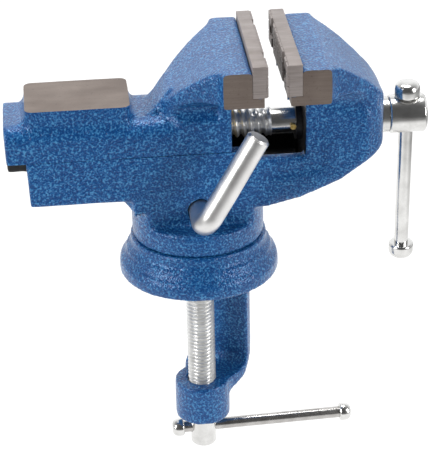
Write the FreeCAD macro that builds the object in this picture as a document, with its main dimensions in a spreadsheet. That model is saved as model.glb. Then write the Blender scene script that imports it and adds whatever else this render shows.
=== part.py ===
"""A 62 mm bench vise with an anvil, on a swivel base with its own bench clamp.

Millimetres, +Z up. The origin is on the swivel axis, on the underside of the
base flange, where the flange rests on the bench. +X runs along the lead screw
towards its handle, and the jaws are 62 mm long in Y.
"""
import FreeCAD, Part
import math
import os
import Sketcher

V = FreeCAD.Vector
doc = FreeCAD.newDocument("bench_vise")
sheet = doc.addObject("Spreadsheet::Sheet", "Sizes")

SIZES = {
    # jaws and their plates
    "jaw_length": 62.0, "plate_thick": 6.25, "plate_base": 87.9, "plate_top": 101.3,
    "grip_face": 34.25, "jaw_gap": 7.35, "plate_overhang": 1.6,
    "groove_pitch": 5.0, "groove_width": 0.9, "groove_deep": 0.7,
    "plate_screw_spread": 19.0, "plate_screw_radius": 2.0, "plate_screw_bite": 7.0,
    "head_top": 98.8, "flare_base": 84.0, "land_length": 15.5, "head_reach": 41.0, "cove_radius": 6.0,
    # the body that the jaws slide on
    "side": 17.3, "slide_face": 59.0, "body_base": 39.5, "body_left": -70.0, "window_right": 43.5,
    "window_sill": 55.2, "window_left": 20.0, "block_end": 76.6, "block_corner": 10.0,
    "channel_half": 11.6, "channel_floor": 44.5, "slot_half": 13.6, "slot_top": 50.5,
    # the moving jaw
    "arm_left": -78.2, "arm_top": 74.0, "arm_round": 6.0, "jaw_end": 13.5, "tongue_base": 53.0,
    "anvil_left": -69.1, "anvil_right": -26.9, "anvil_half": 15.25, "anvil_top": 80.8, "anvil_corner": 3.0,
    # lead screw, hub and their rings
    "screw_axis": 64.3, "lead_radius": 6.0, "shank_radius": 5.5, "lead_left": -58.0, "lead_right": 31.0,
    "nut_radius": 9.5, "nut_length": 20.0, "ring_radius": 8.0, "ring_thick": 2.4, "collar_thick": 3.0,
    "hub_radius": 8.0, "hub_length": 15.5, "cross_pin_radius": 1.2, "cross_pin_length": 15.0,
    # the sliding handle
    "handle_radius": 3.0, "handle_up": 11.3, "handle_down": 66.5, "handle_cap_radius": 5.3,
    "handle_cap_length": 6.6, "handle_turn": 5.0,
    # swivel base and its clamp
    "flange_radius": 33.4, "flange_rim": 5.0, "seat_radius": 28.5, "seat_height": 17.0,
    "collar_radius": 27.5, "collar_top": 26.8, "spigot_radius": 12.0, "spigot_top": 36.8,
    "clamp_turn": 67.0, "arm_inner": 16.0, "arm_thick": 5.5, "arm_half": 13.7,
    "foot_top": -56.0, "foot_base": -73.5, "boss_radius": 11.8,
    "clamp_screw_radius": 6.0, "screw_head_radius": 5.6, "screw_head_top": -75.0, "screw_head_base": -89.5,
    "pad_radius": 12.0, "pad_top": -4.6, "pad_thick": 3.4,
    # the clamp screw's bar
    "bar_radius": 2.5, "bar_height": -80.85, "bar_turn": 2.8, "bar_left": 11.4, "bar_right": 63.6,
    "bar_cap_radius": 4.0, "bar_cap_length": 5.2,
    # the lever that locks the swivel
    "lever_height": 33.3, "lever_radius": 4.8, "lever_hole_radius": 5.15, "lever_out": 33.5,
    "lever_length": 45.5, "lever_lean": 30.0, "lever_bend": 11.0,
    # clearances
    "sliding_gap": 0.15, "running_gap": 0.05, "press_gap": 0.01,
}


class Size:
    """A number together with the sheet expression that gives it."""

    def __init__(self, number, text):
        self.number = number
        self.text = text

    @staticmethod
    def of(other):
        return other if isinstance(other, Size) else Size(float(other), repr(float(other)))

    def _join(self, other, sign, number):
        return Size(number, "(%s %s %s)" % (self.text, sign, Size.of(other).text))

    def __add__(self, other):
        return self._join(other, "+", self.number + Size.of(other).number)

    def __sub__(self, other):
        return self._join(other, "-", self.number - Size.of(other).number)

    def __mul__(self, other):
        return self._join(other, "*", self.number * Size.of(other).number)

    def __truediv__(self, other):
        return self._join(other, "/", self.number / Size.of(other).number)

    def __neg__(self):
        return Size.of(0) - self

    def __radd__(self, other):
        return Size.of(other) + self

    def __rsub__(self, other):
        return Size.of(other) - self


class Sheet:
    """Writes the driving sizes to the spreadsheet and hands them out by name."""

    def __init__(self, sizes):
        for row, (name, number) in enumerate(sizes.items(), start=1):
            sheet.set("A%d" % row, name)
            sheet.set("B%d" % row, repr(number))
            sheet.setAlias("B%d" % row, name)
            setattr(self, name, Size(number, "Sizes." + name))


s = Sheet(SIZES)
doc.recompute()
made = 0


def part_name(word):
    """A fresh object name that starts with the given word."""
    global made
    made += 1
    return "%s_%d" % (word, made)


def bind(thing, prop, size):
    thing.setExpression(prop, Size.of(size).text)


def seat(thing, base, rotation=None):
    """Places a primitive with its origin at base, turned by rotation."""
    if rotation is not None:
        thing.Placement = FreeCAD.Placement(V(0, 0, 0), rotation)
    for axis, size in zip("xyz", base):
        bind(thing, "Placement.Base." + axis, size)
    return thing


TURNS = {
    "x": FreeCAD.Rotation(V(0, 1, 0), 90),
    "y": FreeCAD.Rotation(V(1, 0, 0), -90),
    "z": FreeCAD.Rotation(),
}


def box(x, y, z):
    """A block between the two sizes given for each axis."""
    block = doc.addObject("Part::Box", part_name("box"))
    for prop, span in (("Length", x), ("Width", y), ("Height", z)):
        bind(block, prop, Size.of(span[1]) - span[0])
    return seat(block, (x[0], y[0], z[0]))


def rod(radius, base, length, axis="z"):
    """A round bar that starts at base and runs in the direction of +axis."""
    bar = doc.addObject("Part::Cylinder", part_name("rod"))
    bind(bar, "Radius", radius)
    bind(bar, "Height", length)
    return seat(bar, base, TURNS[axis])


def taper(first, second, base, length, axis="z"):
    """A round taper from the first radius to the second."""
    cone = doc.addObject("Part::Cone", part_name("taper"))
    bind(cone, "Radius1", first)
    bind(cone, "Radius2", second)
    bind(cone, "Height", length)
    return seat(cone, base, TURNS[axis])


def fuse(*shapes):
    joined = doc.addObject("Part::MultiFuse", part_name("fuse"))
    joined.Shapes = list(shapes)
    return joined


def cut(base, *tools):
    """The base with every tool taken out of it."""
    result = doc.addObject("Part::Cut", part_name("cut"))
    result.Base = base
    result.Tool = tools[0] if len(tools) == 1 else fuse(*tools)
    return result


def common(first, second):
    shared = doc.addObject("Part::MultiCommon", part_name("common"))
    shared.Shapes = [first, second]
    return shared


def outline(body, role, points):
    """A closed sketch of straight lines, each corner held by two sizes."""
    drawing = body.newObject("Sketcher::SketchObject", part_name("outline"))
    plane = [item for item in body.Origin.OriginFeatures if item.Role == role][0]
    drawing.AttachmentSupport = (plane, [""])
    drawing.MapMode = "FlatFace"
    corners = [(Size.of(u), Size.of(v)) for u, v in points]
    count = len(corners)
    for index in range(count):
        start, end = corners[index], corners[(index + 1) % count]
        line = Part.LineSegment(V(start[0].number, start[1].number, 0), V(end[0].number, end[1].number, 0))
        drawing.addGeometry(line, False)
    for index in range(count):
        drawing.addConstraint(Sketcher.Constraint("Coincident", index, 2, (index + 1) % count, 1))
    for index, corner in enumerate(corners):
        for kind, size in zip(("DistanceX", "DistanceY"), corner):
            held = drawing.addConstraint(Sketcher.Constraint(kind, -1, 1, index, 1, size.number))
            drawing.setExpression("Constraints[%d]" % held, size.text)
    return drawing


def prism(role, points, low, high):
    """A body padded from an outline, between low and high along the plane's normal."""
    body = doc.addObject("PartDesign::Body", part_name("prism"))
    drawing = outline(body, role, points)
    bind(drawing, "AttachmentOffset.Base.z", low)
    pad = body.newObject("PartDesign::Pad", part_name("pad"))
    pad.Profile = drawing
    bind(pad, "Length", Size.of(high) - low)
    return body


def turned(points):
    """A body turned about Z from an outline of (radius, height) points."""
    body = doc.addObject("PartDesign::Body", part_name("turned"))
    drawing = outline(body, "XZ_Plane", points)
    spin = body.newObject("PartDesign::Revolution", part_name("spin"))
    spin.Profile = drawing
    spin.ReferenceAxis = (drawing, ["V_Axis"])
    spin.Angle = 360
    return body


def rounded(base, radius, wanted):
    """The base with a fillet on every edge that wanted accepts."""
    doc.recompute()
    fillet = doc.addObject("Part::Fillet", part_name("round"))
    fillet.Base = base
    picked = [n for n, edge in enumerate(base.Shape.Edges, start=1) if wanted(edge)]
    fillet.Edges = [(n, Size.of(radius).number, Size.of(radius).number) for n in picked]
    return fillet


nodes = {}


def node(name, thing):
    """Labels the finished piece with the name of its node."""
    thing.Label = name
    nodes[name] = thing
    return thing


def upright(edge):
    """True for a straight edge that runs along Z."""
    ends = edge.Vertexes
    if len(ends) != 2 or edge.Curve.TypeId != "Part::GeomLine":
        return False
    step = ends[1].Point - ends[0].Point
    return abs(step.x) < 1e-6 and abs(step.y) < 1e-6


# ---- places that several pieces share -------------------------------------------------

half_jaw = s.jaw_length / 2
moving_grip = s.grip_face - s.jaw_gap
fixed_plate_back = s.grip_face + s.plate_thick
moving_plate_back = moving_grip - s.plate_thick
fixed_ledge = s.grip_face + s.plate_overhang
moving_ledge = moving_grip - s.plate_overhang
fixed_land_end = fixed_ledge + s.land_length
moving_land_end = moving_ledge - s.land_length
plate_screw_height = (s.plate_base + s.plate_top) / 2 - 1
hub_left = s.block_end + s.collar_thick + s.sliding_gap * 2
hub_middle = hub_left + s.hub_length / 2


def head_side(ledge, back, land_end, way):
    """Side view of a jaw head's upper part: ledge, plate seat, level top and falling back."""
    reach = s.head_reach / 41.0
    drop = s.head_top - s.flare_base
    falls = ((0.0, 0.0), (5.0, 0.17), (11.0, 0.45), (17.0, 0.79), (22.5, 1.17), (25.0, 1.40))
    points = [(ledge, s.flare_base), (ledge, s.plate_base), (back, s.plate_base), (back, s.head_top)]
    points += [(land_end + reach * (run * way), s.head_top - drop * share) for run, share in falls]
    last = points[-1][0]
    return points + [(last, s.flare_base - s.cove_radius - 2), (ledge, s.flare_base - s.cove_radius - 2)]


def head_plan(ledge, land_end, way):
    """Plan of a jaw head's flare: full width along the land, then tapering away."""
    reach = s.head_reach / 41.0
    taper_points = ((0.0, 1.0), (1.8, 0.905), (4.7, 0.82), (11.0, 0.70), (17.0, 0.565), (22.5, 0.41), (25.0, 0.29))
    near = [(ledge, -half_jaw)] + [(land_end + reach * (run * way), -(half_jaw * share)) for run, share in taper_points]
    far = [(x, -y) for x, y in reversed(near)]
    return near + far


def jaw_head(ledge, back, land_end, way):
    """The flared top of a jaw, with the coves that run down to the body's sides."""
    floor = s.flare_base - s.cove_radius
    side_view = prism("XZ_Plane", head_side(ledge, back, land_end, way), -half_jaw - 1, half_jaw + 1)
    plan = prism("XY_Plane", head_plan(ledge, land_end, way), s.flare_base, s.head_top + 1)
    flare = common(side_view, plan)
    last = land_end + s.head_reach / 41.0 * (25.0 * way)
    low_x, high_x = (ledge, last) if way > 0 else (last, ledge)
    coves = []
    for hand in (-1, 1):
        inner = s.side * hand
        outer = (s.side + s.cove_radius) * hand
        span = (inner, outer) if hand > 0 else (outer, inner)
        block = box((low_x, high_x), span, (floor, s.flare_base))
        hollow = rod(s.cove_radius, (low_x - 1, outer, floor), high_x - low_x + 2, "x")
        coves.append(cut(block, hollow))
    cove_plan = prism("XY_Plane", head_plan(ledge, land_end, way), floor, s.flare_base)
    return flare, common(fuse(*coves), cove_plan)


# ---- table clamp -----------------------------------------------------------------------

def clamp_frame():
    groove_low = s.lever_height - 2.7
    groove_high = s.lever_height + 2.7
    base = turned([
        (0, 0), (s.flange_radius, 0), (s.flange_radius, s.flange_rim), (s.flange_radius - 2.6, s.flange_rim + 4),
        (s.seat_radius, s.seat_height - 4), (s.seat_radius, s.seat_height), (s.spigot_radius, s.seat_height),
        (s.spigot_radius, groove_low), (s.spigot_radius - 1, groove_low), (s.spigot_radius - 1, groove_high),
        (s.spigot_radius, groove_high), (s.spigot_radius, s.spigot_top), (0, s.spigot_top)])
    outer = s.arm_inner + s.arm_thick
    side_view = prism("XZ_Plane", [
        (s.arm_inner, 1), (s.arm_inner, s.foot_top + 5), (s.arm_inner - 1.5, s.foot_top + 1.5),
        (s.arm_inner - 5, s.foot_top), (0, s.foot_top), (0, s.foot_top - 8), (s.arm_inner - 7, s.foot_top - 5.5),
        (outer - 7, s.foot_top - 1.5), (outer - 2, s.foot_top + 2), (outer, s.foot_top + 8), (outer, -8),
        (outer + 3.5, 1)], -s.arm_half - 1, s.arm_half + 1)
    plan = prism("XY_Plane", [
        (0, -8), (s.arm_inner - 7, -s.arm_half + 3), (outer - 7, -s.arm_half + 1), (outer - 3, -s.arm_half),
        (outer + 4, -s.arm_half), (outer + 4, s.arm_half), (outer - 3, s.arm_half), (outer - 7, s.arm_half - 1),
        (s.arm_inner - 7, s.arm_half - 3), (0, 8)], s.foot_base, 2)
    for piece in (side_view, plan):
        piece.Placement = FreeCAD.Placement(V(0, 0, 0), FreeCAD.Rotation(V(0, 0, 1), 0))
        piece.setExpression("Placement.Rotation.Angle", s.clamp_turn.text)
    arm = common(side_view, plan)
    boss = rod(s.boss_radius, (0, 0, s.foot_base), s.foot_top - s.foot_base)
    bore = rod(s.clamp_screw_radius + s.running_gap, (0, 0, s.foot_base - 1), s.foot_top - s.foot_base + 2)
    node("clamp_frame", cut(fuse(base, arm, boss), bore))


def clamp_screw():
    neck_top = s.pad_top - s.pad_thick / 2 - s.running_gap
    stem = rod(s.clamp_screw_radius, (0, 0, s.screw_head_top), s.pad_top - s.pad_thick - s.sliding_gap - s.screw_head_top)
    tip = rod(s.clamp_screw_radius * 0.5, (0, 0, s.screw_head_top), neck_top - s.screw_head_top)
    head_height = s.screw_head_top - s.screw_head_base
    head = rod(s.screw_head_radius, (0, 0, s.screw_head_base + 1.5), head_height - 1.5)
    chamfer = taper(s.screw_head_radius - 1.5, s.screw_head_radius, (0, 0, s.screw_head_base), 1.5)
    hole = rod(s.bar_radius + s.running_gap, (0, -s.screw_head_radius - 2, s.bar_height), s.screw_head_radius * 2 + 4, "y")
    aim = FreeCAD.Rotation(V(0, 0, 1), s.bar_turn.number - 90).multiply(TURNS["y"])
    reach = s.screw_head_radius + 2
    turn = math.radians(s.bar_turn.number)
    hole.Placement = FreeCAD.Placement(V(0, 0, 0), aim)
    bind(hole, "Placement.Base.x", -(reach * math.cos(turn)))
    bind(hole, "Placement.Base.y", -(reach * math.sin(turn)))
    bind(hole, "Placement.Base.z", s.bar_height)
    node("clamp_screw", cut(fuse(stem, tip, head, chamfer), hole))


def pressure_pad():
    low = s.pad_top - s.pad_thick
    disc = turned([
        (0, low), (s.pad_radius - 1, low), (s.pad_radius, low + 1), (s.pad_radius, s.pad_top), (0, s.pad_top)])
    socket = rod(s.clamp_screw_radius * 0.5 + s.running_gap, (0, 0, low - 1), s.pad_thick / 2 + 1)
    node("pressure_pad", cut(disc, socket))


def along_bar(start, length, radius, second=None):
    """A round piece on the clamp bar's axis, start being its distance from the screw's axis."""
    turn = math.radians(s.bar_turn.number)
    base = (Size.of(start) * math.cos(turn), Size.of(start) * math.sin(turn), s.bar_height)
    piece = rod(radius, base, length, "x") if second is None else taper(radius, second, base, length, "x")
    piece.Placement = FreeCAD.Placement(V(0, 0, 0), FreeCAD.Rotation(V(0, 0, 1), s.bar_turn.number).multiply(TURNS["x"]))
    for axis, size in zip("xyz", base):
        bind(piece, "Placement.Base." + axis, size)
    return piece


def clamp_bar():
    half_cap = s.bar_cap_length / 2
    tenon = s.bar_radius + s.press_gap
    node("clamp_bar", along_bar(-s.bar_left, s.bar_left + s.bar_right, s.bar_radius))
    for name, middle, way in (("clamp_bar_cap_left", -s.bar_left, -1), ("clamp_bar_cap_right", s.bar_right, 1)):
        start = middle - half_cap
        body = along_bar(start + (1.2 if way < 0 else 0), s.bar_cap_length - 1.2, s.bar_cap_radius)
        radii = (s.bar_cap_radius - 1.6, s.bar_cap_radius) if way < 0 else (s.bar_cap_radius, s.bar_cap_radius - 1.6)
        dome = along_bar(start if way < 0 else start + s.bar_cap_length - 1.2, 1.2, radii[0], radii[1])
        socket = along_bar(middle if way < 0 else start - 1, half_cap + 1, tenon)
        node(name, cut(fuse(body, dome), socket))


# ---- fixed jaw and body -----------------------------------------------------------------

def plate_screw_holes(x_low, x_high, radius):
    return [rod(radius, (x_low, s.plate_screw_spread * hand, plate_screw_height), x_high - x_low, "x") for hand in (-1, 1)]


def vise_body():
    flare, coves = jaw_head(fixed_ledge, fixed_plate_back, fixed_land_end, 1)
    neck_right = s.collar_radius
    side_view = prism("XZ_Plane", [
        (s.body_left, s.slide_face), (s.window_left, s.slide_face), (s.window_left + 4, s.window_sill),
        (s.window_right, s.window_sill), (s.window_right, s.flare_base - 4), (fixed_ledge + 2, s.flare_base),
        (s.block_end, s.flare_base), (s.block_end, s.body_base + 17), (s.block_end - 2.5, s.body_base + 15),
        (s.block_end - 10.6, s.body_base + 10), (s.block_end - 18.8, s.body_base + 4.2),
        (s.block_end - 35.4, s.body_base - 2.8), (neck_right + 4, s.body_base - 5), (neck_right, s.body_base - 6),
        (-neck_right, s.body_base - 6), (-neck_right, s.body_base), (s.body_left + 1, s.body_base)],
        -s.side, s.side)
    far_end = s.block_end
    block = rounded(side_view, s.block_corner,
                    lambda edge: upright(edge) and abs(edge.Vertexes[0].X - far_end.number) < 0.01)
    head_limit = prism("XZ_Plane", [
        (s.body_left - 1, s.body_base - 20), (s.block_end + 1, s.body_base - 20)]
        + list(reversed(head_fall_line(fixed_land_end, 1))) + [(s.body_left - 1, s.head_top)],
        -s.side - 1, s.side + 1)
    collar = rod(s.collar_radius, (0, 0, s.seat_height + 0.1), s.collar_top - s.seat_height - 0.1)
    neck_round = rod(s.collar_radius, (0, 0, s.collar_top), s.body_base - s.collar_top + 1)
    neck_flat = box((-s.collar_radius - 1, s.collar_radius + 1), (-s.side, s.side), (s.collar_top - 1, s.body_base + 1))
    solid = fuse(common(block, head_limit), flare, coves, collar, common(neck_round, neck_flat))
    channel = box((s.body_left - 1, s.window_right), (-s.channel_half, s.channel_half), (s.channel_floor, s.slide_face + 1))
    slot = box((s.body_left - 1, s.window_left + 2), (-s.slot_half, s.slot_half), (s.channel_floor, s.slot_top))
    spigot_bore = rod(s.spigot_radius + s.running_gap, (0, 0, s.seat_height - 1), s.spigot_top + 1.5 - s.seat_height)
    lever_bore = rod(s.lever_hole_radius, (0, -s.collar_radius - 1, s.lever_height), s.collar_radius, "y")
    screw_bore = rod(s.shank_radius + s.running_gap, (s.window_right - 1, 0, s.screw_axis),
                     s.block_end - s.window_right + 2, "x")
    taps = plate_screw_holes(fixed_plate_back - 1, fixed_plate_back + s.plate_screw_bite, s.plate_screw_radius + s.press_gap)
    node("vise_body", cut(solid, channel, slot, spigot_bore, lever_bore, screw_bore, *taps))


def head_fall_line(land_end, way):
    """The falling line of a jaw head's top, as points of its side view."""
    reach = s.head_reach / 41.0
    drop = s.head_top - s.flare_base
    falls = ((0.0, 0.0), (5.0, 0.17), (11.0, 0.45), (17.0, 0.79), (22.5, 1.17), (26.5, 1.55))
    return [(land_end + reach * (run * way), s.head_top - drop * share) for run, share in falls]


def jaw_plate(name, back, face, way):
    """A plate with a chequered gripping face; way is +1 when it grips towards +X."""
    low, high = (back, face) if way > 0 else (face, back)
    blank = box((low, high), (-half_jaw, half_jaw), (s.plate_base, s.plate_top))
    floor = (face - s.groove_deep, face + 1) if way > 0 else (face - 1, face + s.groove_deep)
    half_groove = s.groove_width / 2
    grooves = []
    count = int(half_jaw.number / s.groove_pitch.number)
    for index in range(-count, count + 1):
        middle = s.groove_pitch * index
        grooves.append(box(floor, (middle - half_groove, middle + half_groove), (s.plate_base - 1, s.plate_top + 1)))
    for share in (1, 2):
        middle = s.plate_base + (s.plate_top - s.plate_base) * share / 3
        grooves.append(box(floor, (-half_jaw - 1, half_jaw + 1), (middle - half_groove, middle + half_groove)))
    holes = plate_screw_holes(low - 1, high + 1, s.plate_screw_radius + 0.15)
    sink = s.plate_screw_radius * 2 + 0.3
    for hand in (-1, 1):
        start = face - sink + 0.15 if way > 0 else face
        radii = (s.plate_screw_radius * 0.8, sink) if way > 0 else (sink, s.plate_screw_radius * 0.8)
        holes.append(taper(radii[0], radii[1], (start, s.plate_screw_spread * hand, plate_screw_height), sink - 0.15, "x"))
    node(name, cut(blank, *(grooves + holes)))


def jaw_screws(name, face, back, way):
    """Two countersunk screws that hold a plate, each a separate solid of one node."""
    screws = []
    head_radius = s.plate_screw_radius * 1.85
    top = face - (s.groove_deep + 0.2) * way
    head_deep = s.plate_screw_radius * 0.9
    tip = back - (s.plate_screw_bite - 0.5) * way
    for hand in (-1, 1):
        place = s.plate_screw_spread * hand
        if way > 0:
            head = taper(s.plate_screw_radius, head_radius, (top - head_deep, place, plate_screw_height), head_deep, "x")
            stem = rod(s.plate_screw_radius, (tip, place, plate_screw_height), top - head_deep - tip, "x")
            drive = rod(s.plate_screw_radius * 0.6, (top - 1.4, place, plate_screw_height), 2, "x")
        else:
            head = taper(head_radius, s.plate_screw_radius, (top, place, plate_screw_height), head_deep, "x")
            stem = rod(s.plate_screw_radius, (top + head_deep, place, plate_screw_height), tip - top - head_deep, "x")
            drive = rod(s.plate_screw_radius * 0.6, (top - 0.6, place, plate_screw_height), 2, "x")
        screws.append(cut(fuse(head, stem), drive))
    node(name, fuse(*screws))


# ---- moving jaw ---------------------------------------------------------------------------

def moving_jaw():
    flare, coves = jaw_head(moving_ledge, moving_plate_back, moving_land_end, -1)
    base = s.slide_face + s.sliding_gap
    arm = prism("XZ_Plane", [
        (s.arm_left + 0.5, base), (s.jaw_end, base), (s.jaw_end, s.arm_top), (s.arm_left, s.arm_top)],
        -s.side, s.side)
    long_top = rounded(arm, s.arm_round, lambda edge: level_top(edge, s.arm_top.number))
    shoulder = s.arm_top - s.arm_round
    fall_line = head_fall_line(moving_land_end, -1)
    back_end = fall_line[-1][0]
    throat = prism("XZ_Plane", [
        (s.jaw_end, shoulder), (s.jaw_end, s.flare_base - 6), (s.jaw_end + 4, s.flare_base - 2),
        (s.jaw_end + 4, s.flare_base), (back_end, s.flare_base), (back_end, shoulder)], -s.side, s.side)
    under_falls = prism("XZ_Plane", [(moving_ledge + 1, shoulder - 1), (moving_ledge + 1, s.head_top)]
                        + fall_line + [(back_end, shoulder - 1)], -s.side - 1, s.side + 1)
    throat_plan = prism("XY_Plane", head_plan(moving_ledge, moving_land_end, -1), shoulder - 1, s.flare_base + 1)
    neck = common(common(throat, under_falls), throat_plan)
    anvil = prism("XY_Plane", [
        (s.anvil_left, -s.anvil_half), (s.anvil_right, -s.anvil_half), (s.anvil_right, s.anvil_half),
        (s.anvil_left, s.anvil_half)], s.arm_top - s.arm_round, s.anvil_top)
    anvil_round = rounded(anvil, s.anvil_corner, upright)
    gap = s.sliding_gap * 2
    web_half = s.channel_half - gap
    foot_half = s.slot_half - gap
    web = box((s.arm_left + 0.7, s.jaw_end), (-web_half, web_half), (s.tongue_base, base))
    keel = box((s.body_left + 1, s.jaw_end), (-web_half, web_half), (s.channel_floor + gap, s.tongue_base))
    foot = box((s.body_left + 1, s.jaw_end), (-foot_half, foot_half), (s.channel_floor + gap, s.slot_top - gap))
    solid = fuse(long_top, neck, flare, coves, anvil_round, web, keel, foot)
    nut_seat = rod(s.nut_radius + s.press_gap, (s.jaw_end - s.nut_length, 0, s.screw_axis), s.nut_length + 1, "x")
    screw_room = rod(s.lead_radius + 0.8, (s.lead_left - 8, 0, s.screw_axis), s.jaw_end - s.lead_left + 5, "x")
    set_hole = rod(2.5 + s.press_gap, (s.jaw_end - s.nut_length / 2, 0, s.channel_floor), s.screw_axis - s.channel_floor)
    taps = plate_screw_holes(moving_plate_back - s.plate_screw_bite, moving_plate_back + 1, s.plate_screw_radius + s.press_gap)
    node("moving_jaw", cut(solid, nut_seat, screw_room, set_hole, *taps))


def level_top(edge, height):
    """True for an edge along X at the given height."""
    ends = edge.Vertexes
    return len(ends) == 2 and all(abs(end.Z - height) < 0.01 for end in ends) and abs(ends[0].X - ends[1].X) > 5


def lead_nut():
    blank = rod(s.nut_radius, (s.jaw_end - s.nut_length, 0, s.screw_axis), s.nut_length, "x")
    bore = rod(s.lead_radius + s.running_gap, (s.jaw_end - s.nut_length - 1, 0, s.screw_axis), s.nut_length + 2, "x")
    dimple = rod(2.5 + s.press_gap, (s.jaw_end - s.nut_length / 2, 0, s.screw_axis - s.nut_radius - 1), 2.5)
    node("lead_nut", cut(blank, bore, dimple))
    stud = rod(2.5, (s.jaw_end - s.nut_length / 2, 0, s.channel_floor + 2), s.screw_axis - s.nut_radius - s.channel_floor - 1)
    socket = rod(1.3, (s.jaw_end - s.nut_length / 2, 0, s.channel_floor), 4.5)
    node("nut_set_screw", cut(stud, socket))


# ---- lead screw and its handle ---------------------------------------------------------------

ring_left = s.window_right - s.sliding_gap - s.ring_thick
cross_pin_x = ring_left - s.sliding_gap - s.cross_pin_radius


def lead_screw():
    stem = rod(s.lead_radius, (s.lead_left + 1.5, 0, s.screw_axis), s.lead_right - s.lead_left - 1.5, "x")
    tip = taper(s.lead_radius - 1.5, s.lead_radius, (s.lead_left, 0, s.screw_axis), 1.5, "x")
    shank = rod(s.shank_radius, (s.lead_right - 1, 0, s.screw_axis), hub_left - s.lead_right + 2, "x")
    hub = rod(s.hub_radius, (hub_left, 0, s.screw_axis), s.hub_length - 1, "x")
    rim = taper(s.hub_radius, s.hub_radius - 1, (hub_left + s.hub_length - 1, 0, s.screw_axis), 1, "x")
    eye = along_handle(-s.hub_radius - 2, s.hub_radius * 2 + 4, s.handle_radius + s.running_gap)
    pin_hole = rod(s.cross_pin_radius + s.press_gap, (cross_pin_x, -s.lead_radius - 1, s.screw_axis), s.lead_radius * 2 + 2, "y")
    node("lead_screw", cut(fuse(stem, tip, shank, hub, rim), eye, pin_hole))


def ring(name, left, thick, radius):
    """A flat ring on the lead screw's shank."""
    disc = rod(radius, (left, 0, s.screw_axis), thick, "x")
    hole = rod(s.shank_radius + s.running_gap, (left - 1, 0, s.screw_axis), thick + 2, "x")
    node(name, cut(disc, hole))


def retaining_pin():
    node("retaining_pin", rod(s.cross_pin_radius, (cross_pin_x, -s.cross_pin_length / 2, s.screw_axis), s.cross_pin_length, "y"))


def along_handle(start, length, radius, second=None):
    """A round piece on the handle's axis, start being its distance above the lead screw's axis."""
    turn = math.radians(s.handle_turn.number)
    base = (hub_middle, -(Size.of(start) * math.sin(turn)), s.screw_axis + Size.of(start) * math.cos(turn))
    piece = rod(radius, base, length) if second is None else taper(radius, second, base, length)
    piece.Placement = FreeCAD.Placement(V(0, 0, 0), FreeCAD.Rotation(V(1, 0, 0), s.handle_turn.number))
    for axis, size in zip("xyz", base):
        bind(piece, "Placement.Base." + axis, size)
    return piece


def handle():
    node("handle_bar", along_handle(-s.handle_down, s.handle_down + s.handle_up, s.handle_radius))
    half_cap = s.handle_cap_length / 2
    for name, middle, way in (("handle_cap_top", s.handle_up, 1), ("handle_cap_bottom", -s.handle_down, -1)):
        low = middle - half_cap
        dome_low = low + s.handle_cap_length - 2 if way > 0 else low
        radii = (s.handle_cap_radius, s.handle_cap_radius - 2.2)
        body = along_handle(low if way > 0 else low + 2, s.handle_cap_length - 2, s.handle_cap_radius)
        dome = along_handle(dome_low, 2, radii[0] if way > 0 else radii[1], radii[1] if way > 0 else radii[0])
        socket = along_handle(low - 1 if way > 0 else middle, half_cap + 1, s.handle_radius + s.press_gap)
        node(name, cut(fuse(body, dome), socket))


# ---- lock lever ---------------------------------------------------------------------------------

def lock_lever():
    """A bent rod: a screwed leg along Y, a round bend, and a leaning leg with a flat end."""
    lean = math.radians(s.lever_lean.number)
    out, bend, height = s.lever_out.number, s.lever_bend.number, s.lever_height.number
    radius, length = s.lever_radius.number, s.lever_length.number
    aim = V(math.sin(lean), 0, math.cos(lean))
    corner = V(0, -out, height)
    inner = s.spigot_radius.number + 0.9
    start = V(0, -inner - 5.0, height)
    bend_start = corner + V(0, bend, 0)
    bend_end = corner + aim * bend
    middle = corner + (V(0, bend, 0) + aim * bend) * (1 - math.sqrt(0.5))
    tip = corner + aim * length
    path = Part.Wire([Part.LineSegment(start, bend_start).toShape(),
                      Part.Arc(bend_start, middle, bend_end).toShape(),
                      Part.LineSegment(bend_end, tip).toShape()])
    section = Part.Wire([Part.Circle(start, V(0, 1, 0), radius).toShape()])
    bent = path.makePipeShell([section], True, True)
    stub = Part.makeCylinder(s.lever_hole_radius.number - 0.07, s.side.number + 1 - inner, V(0, -s.side.number - 1, height), V(0, 1, 0))
    lever = doc.addObject("Part::Feature", "lever_rod")
    lever.Shape = bent.fuse(stub).removeSplitter()
    node("lock_lever", lever)


def lock_shoe():
    back = -s.spigot_radius - 0.8
    pad = rod(s.lever_hole_radius - 0.15, (0, back, s.lever_height), 0.65, "y")
    nose = rod(2.4, (0, back, s.lever_height), 1.6, "y")
    node("lock_shoe", fuse(pad, nose))


# ---- build, test and write ---------------------------------------------------------------------

clamp_frame()
clamp_screw()
pressure_pad()
clamp_bar()
vise_body()
jaw_plate("fixed_jaw_plate", fixed_plate_back, s.grip_face, -1)
jaw_screws("fixed_jaw_screws", s.grip_face, fixed_plate_back, -1)
moving_jaw()
jaw_plate("moving_jaw_plate", moving_plate_back, moving_grip, 1)
jaw_screws("moving_jaw_screws", moving_grip, moving_plate_back, 1)
lead_nut()
lead_screw()
ring("thrust_collar", s.block_end + s.sliding_gap, s.collar_thick, s.hub_radius - 0.4)
ring("retaining_washer", ring_left, s.ring_thick, s.ring_radius)
retaining_pin()
handle()
lock_lever()
lock_shoe()
doc.recompute()

for thing in doc.Objects:
    if "Invalid" in thing.State or "Error" in thing.State:
        raise RuntimeError("failed object: %s (%s)" % (thing.Name, thing.Label))
os.makedirs("parts", exist_ok=True)
for name, thing in nodes.items():
    if thing.Shape.isNull() or not thing.Shape.isValid():
        raise RuntimeError("bad shape: " + name)
for name, thing in nodes.items():
    thing.Shape.exportStep("parts/%s.step" % name)
    print(name, len(thing.Shape.Solids), round(thing.Shape.Volume, 1))
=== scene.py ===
"""Looks of a small bench vise with an anvil.

Blue hammertone castings, bare machined iron, ground jaw plates, bright plated bars and screws.
Lengths are written in millimetres and turned into metres where a mesh is made.
"""
import math

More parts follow.
